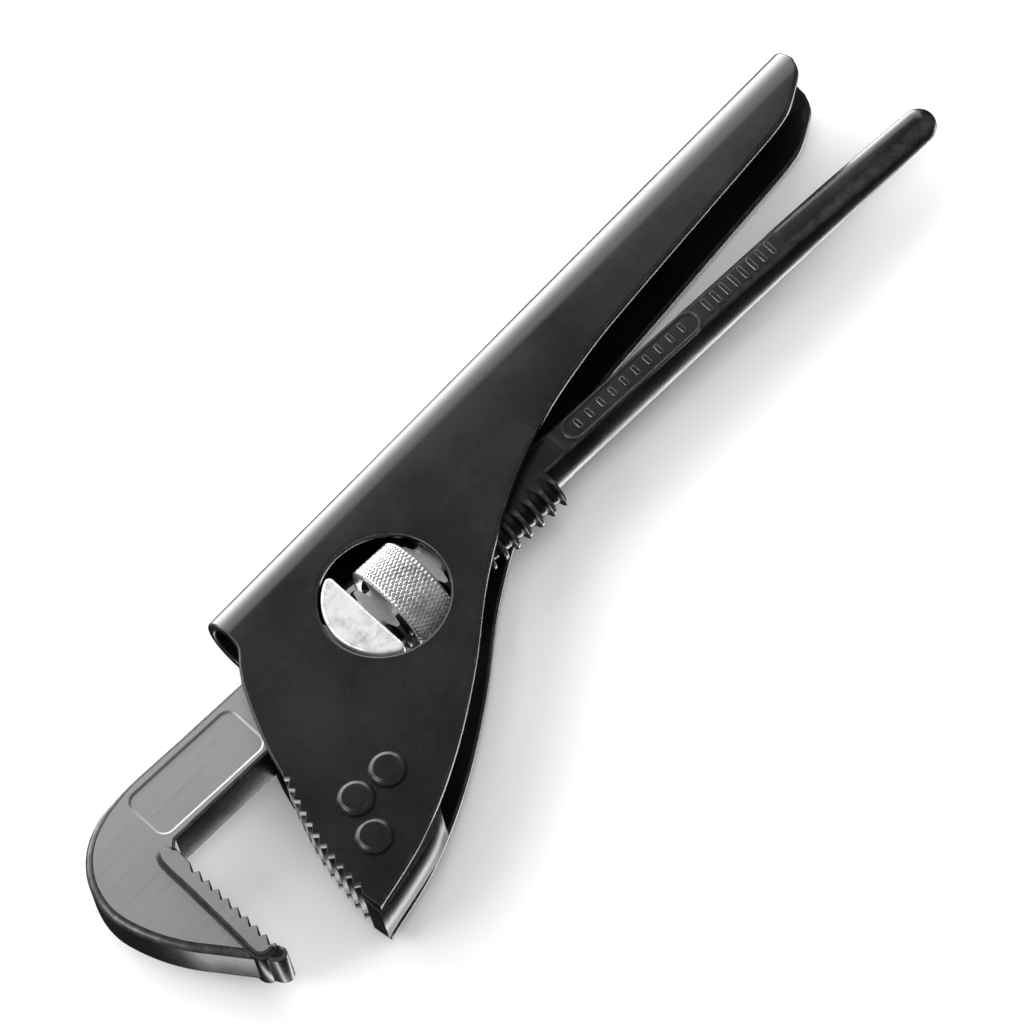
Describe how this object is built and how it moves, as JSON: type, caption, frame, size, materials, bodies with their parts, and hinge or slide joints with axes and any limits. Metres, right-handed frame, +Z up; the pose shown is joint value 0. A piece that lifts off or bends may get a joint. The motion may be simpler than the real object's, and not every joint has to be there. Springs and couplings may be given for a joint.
{
  "type": "pipe wrench",
  "caption": "Pipe wrench: folded steel frame handle with a riveted toothed jaw, and a threaded hook-jaw lever set by a knurled nut seated in the frame's round windows.",
  "frame": {"origin": "under the middle of the wrench's bounding box, on the plane its lowest point, the nut's rim, touches when it lies on its side", "axes": "+X along the frame's spine towards the handle end, +Y towards the spine, +Z up through the cheeks, along the hook lever's swing axis"},
  "size_m": [0.2747, 0.0856, 0.025],
  "materials": {
    "black_enamel": "semi-gloss black enamel on steel",
    "black_oxide": "black oxide on forged steel, bright at the tooth edges",
    "bright_zinc": "bright zinc plate",
    "forged_steel": "black forging with ground satin faces on hook and shank"
  },
  "bodies": {
    "frame": {"frame_shell": "black_enamel", "fixed_jaw": "black_oxide", "rivet_front": "black_enamel", "rivet_rear": "black_enamel", "rivet_lower": "black_enamel"},
    "pivot_block": {"pivot_block": "bright_zinc"},
    "nut": {"adjusting_nut": "bright_zinc"},
    "hook_lever": {"hook_lever": "forged_steel"}
  },
  "joints": [
    {"name": "lever_swing", "type": "hinge", "parent": "frame", "child": "pivot_block", "pos_m": [-0.03733, 0.01295, 0.0125], "axis": [0, 0, 1], "range_deg": [-15, 8]},
    {"name": "nut_spin", "type": "hinge", "parent": "pivot_block", "child": "nut", "pos_m": [-0.03733, 0.01295, 0.0125], "axis": [0.9986, -0.0523, 0], "range_deg": [-1215, 2990]},
    {"name": "jaw_slide", "type": "slide", "parent": "pivot_block", "child": "hook_lever", "axis": [-0.9986, 0.0523, 0], "range_m": [-0.013, 0.032]}
  ],
  "couplings": [
    {"joint": "jaw_slide", "follows": "nut_spin", "m_per_rad": 0.00061275}
  ]
}
